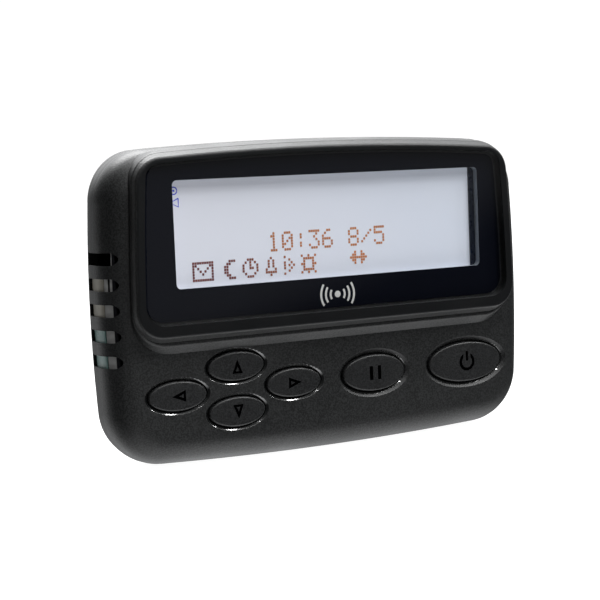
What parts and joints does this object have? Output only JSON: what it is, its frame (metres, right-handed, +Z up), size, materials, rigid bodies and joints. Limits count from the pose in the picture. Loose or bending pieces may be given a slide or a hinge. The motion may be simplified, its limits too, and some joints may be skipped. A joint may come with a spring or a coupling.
{
  "type": "pager",
  "caption": "Compact matte black pocket pager with a raised display hood, oval push keys, side sound slots and a sliding battery door.",
  "frame": {"origin": "under the middle of the case, on the surface it stands on", "axes": "+X to the right seen from the front (width), -Y out of the display (front), +Z up (height)"},
  "size_m": [0.08, 0.019, 0.0525],
  "materials": {
    "case_plastic": "fine grained matte",
    "key_plastic": "satin",
    "lens": "clear gloss",
    "tape": "matte",
    "frame_plastic": "satin",
    "seal_foam": "matte",
    "lcd": "gloss",
    "light_guide": "gloss",
    "lamp": "gloss",
    "elastomer": "matte",
    "membrane": "matte",
    "dome_steel": "bright",
    "board": "satin solder mask",
    "flex_film": "satin film",
    "chip": "matte",
    "shield_tin": "satin",
    "crystal_can": "bright",
    "coil_copper": "enamelled",
    "capacitor_can": "satin",
    "antenna_strip": "tinned",
    "sounder_case": "satin",
    "motor_can": "bright",
    "motor_rubber": "matte",
    "shaft_steel": "bright",
    "weight_metal": "dull",
    "cell_jacket": "gloss wrap",
    "contact_spring": "nickel plated",
    "screw_steel": "black zinc",
    "label_film": "satin"
  },
  "bodies": {
    "case": {"front_cover": "case_plastic", "rear_cover": "case_plastic", "rear_label": "label_film", "case_screws": "screw_steel", "display_lens": "lens", "lens_tape": "tape", "lcd_frame": "frame_plastic", "lcd_seal": "seal_foam", "lcd_glass": "lcd", "backlight_panel": "light_guide", "backlight_leds": "lamp", "elastomer_connector": "elastomer", "keypad_membrane": "membrane", "snap_domes": "dome_steel", "main_board": "board", "processor_chip": "chip", "decoder_chip": "chip", "receiver_chip": "chip", "rf_shield": "shield_tin", "crystal": "crystal_can", "tuning_coils": "coil_copper", "capacitors": "capacitor_can", "loop_antenna": "antenna_strip", "alert_board": "flex_film", "sounder": "sounder_case", "motor_holder": "motor_rubber", "vibration_motor": "motor_can", "battery_cell": "cell_jacket", "battery_contact_plus": "contact_spring", "battery_contact_minus": "contact_spring"},
    "key_up": {"button_up": "key_plastic"},
    "key_down": {"button_down": "key_plastic"},
    "key_left": {"button_left": "key_plastic"},
    "key_right": {"button_right": "key_plastic"},
    "key_pause": {"button_pause": "key_plastic"},
    "key_power": {"button_power": "key_plastic"},
    "door": {"battery_door": "case_plastic"},
    "motor_rotor": {"motor_shaft": "shaft_steel", "motor_weight": "weight_metal"}
  },
  "joints": [
    {"name": "up_press", "type": "slide", "parent": "case", "child": "key_up", "axis": [0, 1, 0], "range_m": [0, 0.00035], "stiffness_N_per_m": 1500, "springref_m": -0.0002},
    {"name": "down_press", "type": "slide", "parent": "case", "child": "key_down", "axis": [0, 1, 0], "range_m": [0, 0.00035], "stiffness_N_per_m": 1500, "springref_m": -0.0002},
    {"name": "left_press", "type": "slide", "parent": "case", "child": "key_left", "axis": [0, 1, 0], "range_m": [0, 0.00035], "stiffness_N_per_m": 1500, "springref_m": -0.0002},
    {"name": "right_press", "type": "slide", "parent": "case", "child": "key_right", "axis": [0, 1, 0], "range_m": [0, 0.00035], "stiffness_N_per_m": 1500, "springref_m": -0.0002},
    {"name": "pause_press", "type": "slide", "parent": "case", "child": "key_pause", "axis": [0, 1, 0], "range_m": [0, 0.00035], "stiffness_N_per_m": 1500, "springref_m": -0.0002},
    {"name": "power_press", "type": "slide", "parent": "case", "child": "key_power", "axis": [0, 1, 0], "range_m": [0, 0.00035], "stiffness_N_per_m": 1500, "springref_m": -0.0002},
    {"name": "door_slide", "type": "slide", "parent": "case", "child": "door", "axis": [1, 0, 0], "range_m": [0, 0.045]},
    {"name": "motor_spin", "type": "hinge", "parent": "case", "child": "motor_rotor", "pos_m": [0.025, 0.0004, 0.042], "axis": [1, 0, 0], "continuous": true}
  ]
}
